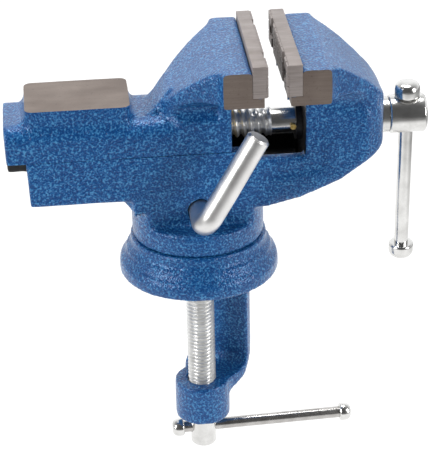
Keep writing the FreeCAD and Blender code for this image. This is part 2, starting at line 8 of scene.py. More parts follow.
import bmesh
import bpy
from mathutils import Matrix, Vector, noise


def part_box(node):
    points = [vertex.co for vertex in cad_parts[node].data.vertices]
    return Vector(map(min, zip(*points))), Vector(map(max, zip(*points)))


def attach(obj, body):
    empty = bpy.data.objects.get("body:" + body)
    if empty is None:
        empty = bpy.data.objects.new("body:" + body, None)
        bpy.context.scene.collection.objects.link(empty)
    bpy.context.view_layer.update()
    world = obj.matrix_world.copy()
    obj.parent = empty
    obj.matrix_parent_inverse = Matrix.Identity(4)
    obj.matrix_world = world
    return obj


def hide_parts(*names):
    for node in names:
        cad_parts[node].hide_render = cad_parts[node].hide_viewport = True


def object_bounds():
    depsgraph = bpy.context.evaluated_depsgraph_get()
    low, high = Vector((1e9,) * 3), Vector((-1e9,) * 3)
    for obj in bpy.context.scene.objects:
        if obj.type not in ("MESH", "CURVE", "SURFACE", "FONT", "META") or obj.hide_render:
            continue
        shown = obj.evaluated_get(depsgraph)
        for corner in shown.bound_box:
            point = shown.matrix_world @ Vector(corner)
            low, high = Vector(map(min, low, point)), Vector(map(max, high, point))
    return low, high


MM = 0.001
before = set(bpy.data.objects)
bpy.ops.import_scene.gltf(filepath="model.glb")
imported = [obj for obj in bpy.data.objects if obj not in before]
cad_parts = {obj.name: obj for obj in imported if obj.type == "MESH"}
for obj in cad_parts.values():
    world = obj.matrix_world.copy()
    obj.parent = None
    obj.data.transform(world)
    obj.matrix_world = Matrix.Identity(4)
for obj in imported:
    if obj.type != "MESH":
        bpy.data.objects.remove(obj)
cad_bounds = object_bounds()


def span(node):
    """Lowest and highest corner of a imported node, in millimetres."""
    low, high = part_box(node)
    return low / MM, high / MM


# ---- mesh helpers ---------------------------------------------------------------------

def piece_from(bm, name, materials, smooth_angle=35.0):
    """Makes an object from a bmesh in millimetres, shaded smooth below an angle."""
    bmesh.ops.remove_doubles(bm, verts=bm.verts, dist=1e-4)
    bmesh.ops.recalc_face_normals(bm, faces=bm.faces)
    mesh = bpy.data.meshes.new(name)
    bm.to_mesh(mesh)
    bm.free()
    mesh.transform(Matrix.Scale(MM, 4))
    piece = bpy.data.objects.new(name, mesh)
    bpy.context.collection.objects.link(piece)
    for material in materials:
        mesh.materials.append(material)
    shade(mesh, smooth_angle)
    return piece


def shade(mesh, angle):
    mesh.polygons.foreach_set("use_smooth", [True] * len(mesh.polygons))
    mesh.set_sharp_from_angle(angle=math.radians(angle))


def evaluated_mesh(piece):
    """The piece's mesh with its modifiers worked in."""
    graph = bpy.context.evaluated_depsgraph_get()
    return bpy.data.meshes.new_from_object(piece.evaluated_get(graph))


def settle(piece):
    """Works the modifiers into the mesh and removes them."""
    mesh = evaluated_mesh(piece)
    piece.modifiers.clear()
    piece.data = mesh
    return piece


def axis_frame(start, towards):
    """Matrix that takes local +Z to the direction given, with its origin at start."""
    turn = Vector(towards).normalized().to_track_quat("Z", "Y").to_matrix().to_4x4()
    return Matrix.Translation(start) @ turn


def soften(profile, radius, steps=4):
    """Rounds each inner corner of a (radius, height) profile with a short curve."""
    result = [profile[0]]
    for before, corner, after in zip(profile, profile[1:], profile[2:]):
        a, b, c = Vector(before), Vector(corner), Vector(after)
        reach = min(radius, (b - a).length * 0.45, (c - b).length * 0.45)
        p, q = b + (a - b).normalized() * reach, b + (c - b).normalized() * reach
        for step in range(steps + 1):
            t = step / steps
            result.append(tuple(p * (1 - t) ** 2 + b * 2 * t * (1 - t) + q * t * t))
    return result + [profile[-1]]


def drum(radius, low, high):
    """Profile of a plain cylinder between two heights."""
    return [(0, low), (radius, low), (radius, high), (0, high)]


def lathe(bm, profile, matrix, segments=64):
    """Turns a profile that starts and ends on the axis into a closed skin."""
    angles = [2 * math.pi * k / segments for k in range(segments)]
    rings = []
    for radius, height in profile:
        if radius < 1e-6:
            places = [Vector((0, 0, height))]
        else:
            places = [Vector((radius * math.cos(a), radius * math.sin(a), height)) for a in angles]
        rings.append([bm.verts.new(matrix @ place) for place in places])
    for lower, upper in zip(rings, rings[1:]):
        for k in range(segments):
            n = (k + 1) % segments
            corners = [lower[k % len(lower)], lower[n % len(lower)]]
            corners += [upper[n % len(upper)], upper[k % len(upper)]]
            unique = list(dict.fromkeys(corners))
            if len(unique) > 2:
                bm.faces.new(unique)


def turned_piece(name, profile, start, towards, material, corner=0.5, segments=64):
    bm = bmesh.new()
    lathe(bm, soften(profile, corner), axis_frame(start, towards), segments)
    return piece_from(bm, name, [material])


def block(bm, low, high):
    """Adds a box between two corners."""
    size = Vector(high) - Vector(low)
    centre = (Vector(high) + Vector(low)) / 2
    matrix = Matrix.Translation(centre) @ Matrix.Diagonal((*size, 1))
    bmesh.ops.create_cube(bm, size=1, matrix=matrix)


def cut_away(piece, bm):
    """Cuts the solids of a bmesh in millimetres out of a piece."""
    cutter = piece_from(bm, "cutter", [])
    modifier = piece.modifiers.new("cut", "BOOLEAN")
    modifier.operation = "DIFFERENCE"
    modifier.solver = "MANIFOLD"
    modifier.object = cutter
    settle(piece)
    bpy.data.objects.remove(cutter)
    return piece


# ---- material helpers ------------------------------------------------------------------

# A mix node has a row of sockets for each kind of value: these are its places.
MIX_FACTOR = 0
MIX_VECTORS = (4, 5)
MIX_COLOURS = (6, 7)
MIXED_VECTOR = 1
MIXED_COLOUR = 2


class Shader:
    """A material's node tree, with short ways to add and join nodes."""

    def __init__(self, name):
        self.material = bpy.data.materials.new(name)
        self.material.use_nodes = True
        self.tree = self.material.node_tree
        self.surface = self.tree.nodes["Principled BSDF"]
        self.place = self.add("ShaderNodeTexCoord").outputs["Object"]

    def add(self, kind, **settings):
        node = self.tree.nodes.new(kind)
        for name, value in settings.items():
            setattr(node, name, value)
        return node

    def join(self, output, socket):
        self.tree.links.new(output, socket)

    def stretched(self, scale, turn=(0, 0, 0)):
        """Object coordinates turned and scaled."""
        mapping = self.add("ShaderNodeMapping")
        mapping.inputs["Scale"].default_value = scale
        mapping.inputs["Rotation"].default_value = turn
        self.join(self.place, mapping.inputs["Vector"])
        return mapping.outputs["Vector"]

    def noise(self, scale, detail=3.0, rough=0.55, place=None):
        node = self.add("ShaderNodeTexNoise")
        node.inputs["Scale"].default_value = scale
        node.inputs["Detail"].default_value = detail
        node.inputs["Roughness"].default_value = rough
        self.join(place or self.place, node.inputs["Vector"])
        return node.outputs["Fac"]

    def cells(self, scale, place=None, feature="SMOOTH_F1"):
        node = self.add("ShaderNodeTexVoronoi", feature=feature)
        node.inputs["Scale"].default_value = scale
        self.join(place or self.place, node.inputs["Vector"])
        return node.outputs["Distance"]

    def ramp(self, value, stops):
        """A colour ramp through (position, colour) stops."""
        node = self.add("ShaderNodeValToRGB")
        band = node.color_ramp
        while len(band.elements) < len(stops):
            band.elements.new(0.5)
        for element, (position, colour) in zip(band.elements, stops):
            element.position = position
            element.color = (*colour, 1)
        self.join(value, node.inputs["Fac"])
        return node.outputs["Color"]

    def levels(self, value, low, high, from_low=0.0, from_high=1.0):
        """Stretches a value from one range to another."""
        node = self.add("ShaderNodeMapRange")
        limits = {"From Min": from_low, "From Max": from_high, "To Min": low, "To Max": high}
        for name, number in limits.items():
            node.inputs[name].default_value = number
        self.join(value, node.inputs["Value"])
        return node.outputs["Result"]

    def blend(self, factor, first, second, kind="MIX"):
        """Mixes two colours, each a socket or a colour."""
        node = self.add("ShaderNodeMix", data_type="RGBA", blend_type=kind)
        sockets = [node.inputs[place] for place in (MIX_FACTOR, *MIX_COLOURS)]
        for socket, value in zip(sockets, (factor, first, second)):
            if isinstance(value, bpy.types.NodeSocket):
                self.join(value, socket)
            else:
                socket.default_value = value if isinstance(value, float) else (*value, 1)
        return node.outputs[MIXED_COLOUR]

    def nudged(self, scale, share):
        """Object coordinates pulled a small share of the way towards a noise."""
        drift = self.add("ShaderNodeTexNoise")
        drift.inputs["Scale"].default_value = scale
        self.join(self.place, drift.inputs["Vector"])
        mix = self.add("ShaderNodeMix", data_type="VECTOR")
        mix.inputs[MIX_FACTOR].default_value = share
        for place, source in zip(MIX_VECTORS, (self.place, drift.outputs["Color"])):
            self.join(source, mix.inputs[place])
        return mix.outputs[MIXED_VECTOR]

    def bump(self, height, depth, under=None):
        """Adds relief of the given depth in millimetres."""
        node = self.add("ShaderNodeBump")
        node.inputs["Distance"].default_value = depth * MM
        self.join(height, node.inputs["Height"])
        if under is not None:
            self.join(under, node.inputs["Normal"])
        return node.outputs["Normal"]

    def set(self, **values):
        for name, value in values.items():
            socket = self.surface.inputs[name.replace("_", " ")]
            if isinstance(value, bpy.types.NodeSocket):
                self.join(value, socket)
            else:
                socket.default_value = value


def hammertone_blue():
    """Hammered enamel: blue with light, worm-like flecks over the grain of the casting; the light flecks are
    partly the enamel's own mottle and partly painted glints for the highlights on the hammer bumps.
    """
    s = Shader("hammertone_blue")
    place = s.nudged(700, 0.0009)
    cell = s.cells(1250, place)
    grain = s.noise(1450, 2.0, place=place)
    cloud = s.noise(70, 3.0)
    fleck_glint = s.add("ShaderNodeMath", operation="MULTIPLY")
    s.join(s.levels(cell, 0.25, 1.0, 0.1, 0.8), fleck_glint.inputs[0])
    s.join(s.levels(grain, 0.45, 1.25, 0.3, 0.7), fleck_glint.inputs[1])
    # Painted highlight: the light blue at the cell rims stands in part for glints off the hammer bumps.
    deep, blue, light = (0.0012, 0.040, 0.165), (0.0030, 0.074, 0.255), (0.060, 0.245, 0.500)
    paint = s.ramp(fleck_glint.outputs[0], [(0.20, deep), (0.50, blue), (0.85, light)])
    tint = s.ramp(cloud, [(0.3, (0.80, 0.84, 0.88)), (0.7, (1.10, 1.08, 1.05))])
    relief = s.bump(grain, 0.10, s.bump(cell, 0.30))
    s.set(Base_Color=s.blend(0.8, paint, tint, "MULTIPLY"), Metallic=0.12, IOR=1.32)
    s.set(Roughness=s.levels(grain, 0.28, 0.46), Normal=relief)
    s.set(Coat_Weight=0.6, Coat_IOR=1.36, Coat_Roughness=0.2, Coat_Normal=relief)
    return s.material


def bare_iron():
    """Milled cast iron, brown-grey, with faint tool marks and small dark pits."""
    s = Shader("bare_iron")
    marks = s.noise(160, 4.0, place=s.stretched((0.25, 1.0, 7.0), (0, 0.55, 0)))
    grain = s.noise(900, 4.0)
    broad = s.noise(60, 2.0)
    colour = s.ramp(broad, [(0.3, (0.150, 0.118, 0.100)), (0.7, (0.205, 0.168, 0.145))])
    streak = s.ramp(marks, [(0.3, (0.80, 0.78, 0.77)), (0.7, (1.15, 1.15, 1.16))])
    worn = s.blend(0.7, colour, streak, "MULTIPLY")
    pits = s.ramp(grain, [(0.28, (0.45, 0.42, 0.40)), (0.40, (1.0, 1.0, 1.0))])
    s.set(Base_Color=s.blend(0.6, worn, pits, "MULTIPLY"), Metallic=0.45)
    s.set(Roughness=s.levels(grain, 0.42, 0.60), Normal=s.bump(marks, 0.02, s.bump(grain, 0.012)))
    return s.material


def jaw_steel():
    """Ground tool steel with slanting wheel marks."""
    s = Shader("jaw_steel")
    marks = s.noise(230, 3.0, place=s.stretched((0.35, 1.0, 6.0), (0, 0.62, 0)))
    grain = s.noise(1200, 3.0)
    colour = s.ramp(marks, [(0.25, (0.205, 0.176, 0.165)), (0.75, (0.310, 0.275, 0.262))])
    s.set(Base_Color=colour, Metallic=0.25)
    s.set(Roughness=s.levels(grain, 0.45, 0.60), Normal=s.bump(marks, 0.018))
    return s.material


def plating(name, dull, bright, roughness, haze_scale, grain_scale, relief):
    """Zinc plating: a haze in broad patches over a fine grain."""
    s = Shader(name)
    haze = s.noise(haze_scale, 4.0)
    grain = s.noise(grain_scale, 3.0)
    s.set(Base_Color=s.ramp(haze, [(0.3, dull), (0.7, bright)]), Metallic=1.0)
    s.set(Roughness=s.levels(haze, *roughness), Normal=s.bump(grain, relief))
    return s.material


def bright_zinc():
    """Bright plating with faint drawing marks and finger haze."""
    return plating("zinc_plate", (0.60, 0.595, 0.58), (0.78, 0.775, 0.76), (0.13, 0.27), 140, 1600, 0.006)


def shaded_zinc():
    """Painted shade: the bright plating darkened to grey, for the drawn bar that hangs in the shade under
    the vise.
    """
    return plating("shaded_zinc", (0.38, 0.365, 0.35), (0.56, 0.545, 0.53), (0.20, 0.34), 160, 1200, 0.008)


def satin_zinc():
    """Plating rubbed dull by hands: a wide soft gleam."""
    return plating("satin_zinc", (0.66, 0.65, 0.64), (0.80, 0.79, 0.78), (0.30, 0.42), 120, 1500, 0.008)


def thread_steel():
    """Plated thread, duller than the bars."""
    s = Shader("thread_steel")
    haze = s.noise(300, 3.0)
    colour = s.ramp(haze, [(0.3, (0.66, 0.655, 0.64)), (0.7, (0.84, 0.835, 0.82))])
    s.set(Base_Color=colour, Metallic=0.85, Roughness=s.levels(haze, 0.30, 0.44))
    return s.material


def black_oxide_and_shade():
    """Black oxide for the small screws and washer, and painted shade: black on the deep-shaded inside of the
    channel and window.
    """
    s = Shader("black_oxide_and_shade")
    grain = s.noise(700, 3.0)
    colour = s.ramp(grain, [(0.3, (0.004, 0.004, 0.005)), (0.7, (0.016, 0.016, 0.018))])
    s.set(Base_Color=colour, Metallic=0.2)
    s.set(Roughness=s.levels(grain, 0.30, 0.5), Normal=s.bump(grain, 0.03))
    return s.material


def turned_brass():
    """Brass as it comes off the lathe."""
    s = Shader("turned_brass")
    grain = s.noise(800, 3.0)
    colour = s.ramp(grain, [(0.3, (0.46, 0.32, 0.10)), (0.7, (0.66, 0.50, 0.20))])
    s.set(Base_Color=colour, Metallic=1.0, Roughness=s.levels(grain, 0.22, 0.36))
    return s.material


PAINT = hammertone_blue()
IRON = bare_iron()
PLATE_STEEL = jaw_steel()
ZINC = bright_zinc()
SATIN = satin_zinc()
SHADED_ZINC = shaded_zinc()
THREAD = thread_steel()
BLACK = black_oxide_and_shade()
BRASS = turned_brass()


# ---- castings -----------------------------------------------------------------------------

def slab(bm, outline, low, high, turn=None):
    """Adds a prism: an outline in x and z, carried from y low to y high, turned about Z if asked."""
    rings = [[bm.verts.new((x, y, z)) for x, z in outline] for y in (low, high)]
    added = list(rings[0]) + list(rings[1])
    bm.faces.new(rings[0])
    bm.faces.new(list(reversed(rings[1])))
    count = len(outline)
    for k in range(count):
        n = (k + 1) % count
        bm.faces.new((rings[0][k], rings[1][k], rings[1][n], rings[0][n]))
    if turn is not None:
        bmesh.ops.rotate(bm, verts=added, cent=(0, 0, 0), matrix=Matrix.Rotation(turn, 3, "Z"))


def add_common(bm, side, plan, heights, turn):
    """Adds the solid that a side outline and a plan outline share, turned about Z."""
    first = bmesh.new()
    slab(first, side, -40, 40)
    shared = piece_from(first, "shared", [])
    second = bmesh.new()
    low, high = ([second.verts.new((x, y, z)) for x, y in plan] for z in heights)
    second.faces.new(low)
    second.faces.new(list(reversed(high)))
    for k in range(len(plan)):
        n = (k + 1) % len(plan)
        second.faces.new((low[k], high[k], high[n], low[n]))
    other = piece_from(second, "other", [])
    modifier = shared.modifiers.new("common", "BOOLEAN")
    modifier.operation = "INTERSECT"
    modifier.solver = "MANIFOLD"
    modifier.object = other
    settle(shared)
    shared.data.transform(Matrix.Rotation(turn, 4, "Z") @ Matrix.Scale(1 / MM, 4))
    bm.from_mesh(shared.data)
    bpy.data.objects.remove(shared)
    bpy.data.objects.remove(other)


SWELL = ((9.0, 0.10), (3.5, 0.04))  # length and height of the waves in a cast skin


def casting(name, node, stock, cutters, voxel=0.75, rounds=13, carve=None, extras=None):
    """A sand casting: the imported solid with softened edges, then its machined faces cut crisp.

    stock lists (axis, place, move): corners on that plane are first pushed out by move, so that
    the softened skin reaches past the cut. cutters are the boxes that the milling takes away.
    """
    bm = bmesh.new()
    bm.from_mesh(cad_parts[node].data)
    bmesh.ops.scale(bm, vec=(1 / MM,) * 3, verts=bm.verts)
    bmesh.ops.remove_doubles(bm, verts=bm.verts, dist=1e-4)
    for axis, place, move in stock:
        for corner in bm.verts:
            if abs(corner.co[axis] - place) < ON_PLANE:
                corner.co[axis] += move
    if carve:
        solid = piece_from(bm, name, [])
        knife = bmesh.new()
        carve(knife)
        cut_away(solid, knife)
        bm = bmesh.new()
        bm.from_mesh(solid.data)
        bmesh.ops.scale(bm, vec=(1 / MM,) * 3, verts=bm.verts)
        bpy.data.objects.remove(solid)
    if extras:
        extras(bm)
    piece = piece_from(bm, name, [PAINT, IRON, BLACK])
    remesh = piece.modifiers.new("skin", "REMESH")
    remesh.mode = "VOXEL"
    remesh.voxel_size = voxel * MM
    smooth = piece.modifiers.new("soften", "SMOOTH")
    smooth.factor = 0.5
    smooth.iterations = rounds
    settle(piece)
    ways = [corner.normal.copy() for corner in piece.data.vertices]
    for corner, way in zip(piece.data.vertices, ways):
        wave = sum(noise.noise(corner.co / (length * MM)) * height for length, height in SWELL)
        corner.co += way * wave * MM
    for low, high in cutters:
        knife = bmesh.new()
        block(knife, low, high)
        cut_away(piece, knife)
    return piece


def within(place, low, high):
    return all(low[k] <= place[k] <= high[k] for k in range(3))


def finish_faces(piece, machined, dark):
    """Gives bare iron to faces on machined planes and black, as painted shade, to faces inside dark boxes.
    """
    for face in piece.data.polygons:
        centre, normal = face.center / MM, face.normal
        face.material_index = 0
        for axis, place, way, low, high in machined:
            flush = normal[axis] * way > 0.98 and abs(centre[axis] - place) < FLUSH
            if flush and within(centre, low, high):
                face.material_index = 1
        if any(within(centre, low, high) for low, high in dark):
            face.material_index = 2
    shade(piece.data, 32)


FAR = 200.0         # further than any piece reaches
ON_PLANE = 0.02     # how near a corner lies to the plane it belongs to
FLUSH = 0.03        # how near a face lies to the plane it was milled to
fixed_low, fixed_high = span("fixed_jaw_plate")
moving_low, moving_high = span("moving_jaw_plate")
body_low = span("vise_body")[0]
slide_low, slide_high = span("moving_jaw")
HALF_JAW = fixed_high.y
SEAT = fixed_low.z  # the step that the plates stand on
OVERHANG = 1.6      # how far the plates stand out past the iron ledge
LAND = 15.5         # length of the milled end of a jaw head
FLARE = 83.6        # underside of the wide part of the heads
HEAD_FOOT = 62.0    # lowest point of the milled mouth of a head
SLIDE_FACE = 59.0   # top of the body's side walls, where the jaw slides
SLIDE_GAP = 0.15
SIDE = 17.3         # half the body's width
WINDOW = 43.5       # right end of the opening in the body
CHANNEL = 11.9      # half the width of the channel for the tongue


def head_stock(ledge, way):
    """Stock for milling on a jaw head: way is the side of the ledge where its plate's back lies."""
    return [(0, ledge, -2 * way), (1, HALF_JAW, 2), (1, -HALF_JAW, -2)]


def head_cuts(ledge, back, way):
    """What the milling takes off a jaw head: its mouth, the plate's seat and both ends."""
    mouth = ledge - 8 * way

    def cut(reach, y_low, y_high, floor):
        low, high = sorted((mouth, reach))
        return (low, y_low, floor), (high, y_high, FAR)

    ends = FLARE - 20
    return [
        cut(ledge, -FAR, FAR, HEAD_FOOT),
        cut(back, -FAR, FAR, SEAT),
        cut(FAR * way, HALF_JAW, FAR, ends),
        cut(FAR * way, -FAR, -HALF_JAW, ends),
    ]


def head_planes(ledge, back, way):
    """Milled planes of a jaw head: both ends, the ledge, the plate's seat and its back."""
    near, far = sorted((ledge - way, ledge + (LAND + 1.5) * way))
    planes = [(1, HALF_JAW * hand, hand, (near, -FAR, FLARE - 5), (far, FAR, FAR)) for hand in (-1, 1)]
    planes += [
        (0, ledge, -way, (0, -FAR, FLARE - 2), (FAR, FAR, FAR)),
        (2, SEAT, 1, (near, -FAR, 0), (far, FAR, FAR)),
        (0, back, -way, (0, -FAR, SEAT), (FAR, FAR, FAR)),
    ]
    return planes


def vise_body():
    """The body casting: fixed jaw head, block, channel, neck and collar."""
    ledge = fixed_low.x + OVERHANG
    back = fixed_high.x
    stock = head_stock(ledge, 1) + [(2, SLIDE_FACE, 1.5)]
    slide_cut = ((-FAR, -FAR, SLIDE_FACE), (ledge - 2.4, FAR, FAR))

    def ribs(bm):
        """The raised lower rim on each side of the fixed block, and the fillet behind the neck."""
        rim = [(52.3, 76), (52.0, 51), (50.6, 49.0), (46, 47.6), (30, 46.2), (29, 36.5), (41, 38.2)]
        rim += [(57.5, 44.5), (65.5, 50.2), (70, 54), (70, 72)]
        for hand in (-1, 1):
            near, out = (SIDE - 1.2) * hand, (SIDE + 0.55) * hand
            slab(bm, rim, min(near, out), max(near, out))
        fillet = [(-35, 40.2), (-26, 40.2), (-26, 30.5), (-27.3, 31.5), (-28.6, 35.0), (-31, 38.0)]
        slab(bm, fillet, -14.5, 14.5)

    cutters = [slide_cut] + head_cuts(ledge, back, 1)
    body = casting("vise_body_casting", "vise_body", stock, cutters, extras=ribs)
    # Painted shade: the channel, its undercut, the window's end face and the slideway in the window take
    # black, standing for the deep shade inside the body.
    channel = ((body_low.x + 0.6, -CHANNEL, 44), (WINDOW + 1, CHANNEL, 58.6))
    undercut = ((body_low.x + 2, -CHANNEL - 2, 44), (24, CHANNEL + 2, 51))
    window_end = ((WINDOW - 1, -CHANNEL - 4.5, 56), (WINDOW + 0.8, CHANNEL + 4.5, 82))
    shaded_way = ((-8.0, -FAR, SLIDE_FACE - FLUSH), (WINDOW, FAR, SLIDE_FACE + FLUSH))
    finish_faces(body, head_planes(ledge, back, 1), [channel, undercut, window_end, shaded_way])
    return body


def moving_jaw():
    """The moving casting: jaw head, arm with its anvil pad, and the tongue below."""
    ledge = moving_high.x - OVERHANG
    back = moving_low.x
    anvil_top = 80.8
    underside = SLIDE_FACE + SLIDE_GAP
    seam_start, seam_top = -31.0, SLIDE_FACE + 0.28
    web = 11.35
    stock = head_stock(ledge, -1) + [(2, anvil_top, 2.5), (2, underside, -1.5)]
    cutters = []
    for start, top in ((-FAR, underside), (seam_start, seam_top)):
        cutters += [((start, web, 51), (FAR, FAR, top)), ((start, -FAR, 51), (FAR, -web, top))]
    cutters += head_cuts(ledge, back, -1)
    cutters.append(((-FAR, -FAR, anvil_top), (-24, FAR, FAR)))

    def coves(bm):
        """Hollows the neck under the flare on both sides."""
        for hand in (-1, 1):
            lathe(bm, drum(4.0, 0, 26), axis_frame((-17, (SIDE + 1.3) * hand, 77.2), (1, 0, 0)), 40)

    def fillets(bm):
        """The blends behind the head and at both ends of the anvil pad."""
        behind = [(-25, 73.2), (-21.5, 73.8), (-18.4, 75.6), (-16.2, 78.0), (-14.4, 80.6), (-12.5, 83.4)]
        behind += [(-10.9, 85.4), (-8, 85.4), (-8, 73.2)]
        slab(bm, behind, -10.0, 10.0)
        curve = [(-1.5, 73), (3.4, 73), (3.0, 74.3), (1.2, 75.4), (0, 78.0), (-1.5, 78.5)]
        for end, way in ((-69.1, -1), (-26.9, 1)):
            slab(bm, [(end + out * way, height) for out, height in curve], -11.5, 11.5)

    jaw = casting("moving_jaw_casting", "moving_jaw", stock, cutters, carve=coves, extras=fillets)
    anvil = (2, anvil_top, 1, (-FAR, -FAR, 0), (-20, FAR, FAR))
    # Painted shade: the tongue in the channel and the step of the seam take black, standing for the shade in
    # the channel and in the gap under the jaw.
    tongue = ((slide_low.x - 1, -14, 44), (slide_high.x, 14, 58.4))
    seam = ((seam_start, -FAR, seam_top - FLUSH), (slide_high.x, FAR, seam_top + FLUSH))
    finish_faces(jaw, head_planes(ledge, back, -1) + [anvil], [tongue, seam])
    return jaw


def clamp_frame():
    """The clamp casting: flange, arm, foot and boss, with the arm turned round under the flange."""
    turn = math.radians(67)
    arm_inner, arm_top, arm_base = 16, 0.8, -51

    def trim(bm):
        """Thins the arm's far edge, which the screw hides."""
        slab(bm, [(9, -arm_top), (9, -80), (30, -80), (30, -arm_top)], 11.6, 20.0, turn)

    def additions(bm):
        """Widens the arm and foot towards the front, and steps the flange's slope."""
        inside = [(arm_inner, arm_top), (arm_inner, arm_base), (14.5, -54.3), (11, -56), (-3, -56)]
        outside = [(-3, -63.5), (7, -62), (13, -59.5), (18.2, -55.8), (20.6, -52), (21.4, -47), (21.5, -8)]
        plan = [(-2, -11.3), (4, -12.4), (9, -14.4), (13, -15.9), (26, -16.1), (26, 0), (-2, 0)]
        add_common(bm, inside + outside + [(24, arm_top)], plan, (-70, 5), turn)
        for radius, top in ((30.5, 11.2), (32.9, 6.9)):
            lathe(bm, drum(radius, 0.5, top), Matrix.Identity(4), 128)

    made = casting("clamp_frame_casting", "clamp_frame", [], [], 0.7, 7, carve=trim, extras=additions)
    finish_faces(made, [], [])
    return made


# ---- threads: geometry nodes ---------------------------------------------------------------

def thread_tree():
    """Geometry nodes that roll a flat grid into a rod with a helical groove."""
    tree = bpy.data.node_groups.new("screw_thread", "GeometryNodeTree")
    for name, kind, value in (("Length", "NodeSocketFloat", 0.06), ("Radius", "NodeSocketFloat", 0.006),
                              ("Depth", "NodeSocketFloat", 0.001), ("Pitch", "NodeSocketFloat", 0.00175),
                              ("Crest", "NodeSocketFloat", 0.12), ("Metal", "NodeSocketMaterial", None)):
        socket = tree.interface.new_socket(name=name, in_out="INPUT", socket_type=kind)
        if value is not None:
            socket.default_value = value
    tree.interface.new_socket(name="Geometry", in_out="OUTPUT", socket_type="NodeSocketGeometry")
    nodes, links = tree.nodes, tree.links
    given = nodes.new("NodeGroupInput")
    result = nodes.new("NodeGroupOutput")

    def maths(operation, first, second=None, clamp=False):
        node = nodes.new("ShaderNodeMath")
        node.operation = operation
        node.use_clamp = clamp
        for socket, value in zip(node.inputs, (first, second)):
            if isinstance(value, bpy.types.NodeSocket):
                links.new(value, socket)
            elif value is not None:
                socket.default_value = value
        return node.outputs[0]

    around = 56
    per_pitch = 12
    grid = nodes.new("GeometryNodeMeshGrid")
    grid.inputs["Size Y"].default_value = 1.0
    grid.inputs["Vertices Y"].default_value = around + 1
    links.new(given.outputs["Length"], grid.inputs["Size X"])
    turns = maths("DIVIDE", given.outputs["Length"], given.outputs["Pitch"])
    rings = maths("MULTIPLY", turns, float(per_pitch))
    count = nodes.new("FunctionNodeFloatToInt")
    links.new(rings, count.inputs[0])
    links.new(count.outputs[0], grid.inputs["Vertices X"])
    place = nodes.new("GeometryNodeInputPosition")
    split = nodes.new("ShaderNodeSeparateXYZ")
    links.new(place.outputs[0], split.inputs[0])
    turn = maths("MULTIPLY", split.outputs["Y"], 2 * math.pi)
    along = maths("DIVIDE", split.outputs["X"], given.outputs["Pitch"])
    phase = maths("FRACT", maths("SUBTRACT", along, split.outputs["Y"]))
    from_crest = maths("ABSOLUTE", maths("SUBTRACT", maths("MULTIPLY", phase, 2.0), 1.0))
    low_part = maths("SUBTRACT", from_crest, given.outputs["Crest"])
    room = maths("SUBTRACT", 1.0, maths("MULTIPLY", given.outputs["Crest"], 2.0))
    groove = maths("DIVIDE", low_part, room, clamp=True)
    half_length = maths("DIVIDE", given.outputs["Length"], 2.0)
    to_end = maths("SUBTRACT", half_length, maths("ABSOLUTE", split.outputs["X"]))
    runout = maths("DIVIDE", to_end, given.outputs["Pitch"], clamp=True)
    depth = maths("MULTIPLY", maths("MULTIPLY", groove, given.outputs["Depth"]), runout)
    radius = maths("SUBTRACT", given.outputs["Radius"], depth)
    moved = nodes.new("ShaderNodeCombineXYZ")
    links.new(maths("MULTIPLY", radius, maths("COSINE", turn)), moved.inputs["X"])
    links.new(maths("MULTIPLY", radius, maths("SINE", turn)), moved.inputs["Y"])
    links.new(split.outputs["X"], moved.inputs["Z"])
    roll = nodes.new("GeometryNodeSetPosition")
    links.new(grid.outputs["Mesh"], roll.inputs["Geometry"])
    links.new(moved.outputs[0], roll.inputs["Position"])
    weld = nodes.new("GeometryNodeMergeByDistance")
    weld.inputs["Distance"].default_value = 1e-6
    links.new(roll.outputs[0], weld.inputs["Geometry"])
    real = nodes.new("GeometryNodeRealizeInstances")
    links.new(weld.outputs[0], real.inputs[0])
    paint = nodes.new("GeometryNodeSetMaterial")
    links.new(real.outputs[0], paint.inputs["Geometry"])
    links.new(given.outputs["Metal"], paint.inputs["Material"])
    links.new(paint.outputs[0], result.inputs[0])
    return tree


THREAD_TREE = thread_tree()


def set_inputs(modifier, **values):
    """Sets a geometry nodes modifier's inputs by socket name."""
    sockets = modifier.node_group.interface.items_tree
    named = {item.name: item.identifier for item in sockets if item.in_out == "INPUT"}
    for name, value in values.items():
        modifier[named[name]] = value


def threaded_rod(name, start, towards, length, radius, depth, pitch, crest):
    """A closed threaded rod in millimetres, with flat ends."""
    mesh = bpy.data.meshes.new(name)
    rod = bpy.data.objects.new(name, mesh)
    bpy.context.collection.objects.link(rod)
    modifier = rod.modifiers.new("thread", "NODES")
    modifier.node_group = THREAD_TREE
    set_inputs(modifier, Length=length * MM, Radius=radius * MM, Depth=depth * MM)
    set_inputs(modifier, Pitch=pitch * MM, Crest=crest, Metal=THREAD)
    made = evaluated_mesh(rod)
    bpy.data.objects.remove(rod)
    bm = bmesh.new()
    bm.from_mesh(made)
    bmesh.ops.scale(bm, vec=(1 / MM,) * 3, verts=bm.verts)
    bmesh.ops.holes_fill(bm, edges=[edge for edge in bm.edges if edge.is_boundary], sides=0)
    middle = Vector(start) + Vector(towards).normalized() * (length / 2)
    bm.transform(axis_frame(middle, towards))
    return piece_from(bm, name, [THREAD], 60)


def joined(name, *pieces):
    """One piece made of several, which touch or pass into each other."""
    bm = bmesh.new()
    materials = []
    for piece in pieces:
        used = list(piece.data.materials)
        for material in used:
            if material not in materials:
                materials.append(material)
        start = len(bm.faces)
        bm.from_mesh(piece.data)
        bm.faces.ensure_lookup_table()
        for face in bm.faces[start:]:
            face.material_index = materials.index(used[min(face.material_index, len(used) - 1)])
        bpy.data.objects.remove(piece)
    mesh = bpy.data.meshes.new(name)
    bm.to_mesh(mesh)
    bm.free()
    for material in materials:
        mesh.materials.append(material)
    result = bpy.data.objects.new(name, mesh)
    bpy.context.collection.objects.link(result)
    shade(mesh, 35)
    return result


# ---- jaw plates: geometry nodes --------------------------------------------------------------

SCREW_SPREAD = 19.0  # from the middle of a plate to either screw


